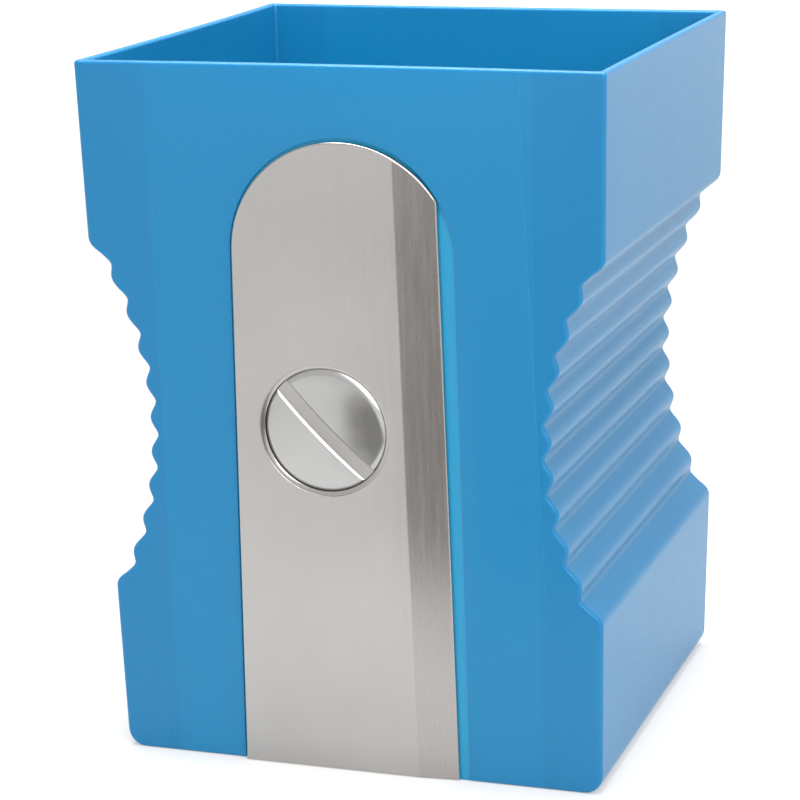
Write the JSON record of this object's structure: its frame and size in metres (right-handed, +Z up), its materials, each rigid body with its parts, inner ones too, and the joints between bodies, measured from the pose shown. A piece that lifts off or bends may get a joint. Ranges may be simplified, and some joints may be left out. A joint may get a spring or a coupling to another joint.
{
  "type": "desk pencil pot",
  "caption": "Square tapered desk pencil pot shaped like a wedge hand sharpener, with a ribbed waist, an arched blade plate and a large slotted screw on its front.",
  "frame": {"origin": "centre of the underside, on the surface the pot stands on", "axes": "+Z up, along the height; the front with the blade plate faces -Y; +X to the right as seen from the front"},
  "size_m": [0.08, 0.0802, 0.1077],
  "materials": {
    "blue_plastic": "satin-gloss injection-moulded plastic",
    "brushed_blade_steel": "finely brushed sheet steel",
    "satin_screw_steel": "satin bright steel",
    "zinc_plated_steel": "zinc plated"
  },
  "bodies": {
    "root": {"pot_body": "blue_plastic", "blade_plate": "brushed_blade_steel", "blade_screw": "satin_screw_steel", "screw_washer": "zinc_plated_steel", "screw_nut": "zinc_plated_steel"}
  },
  "joints": []
}
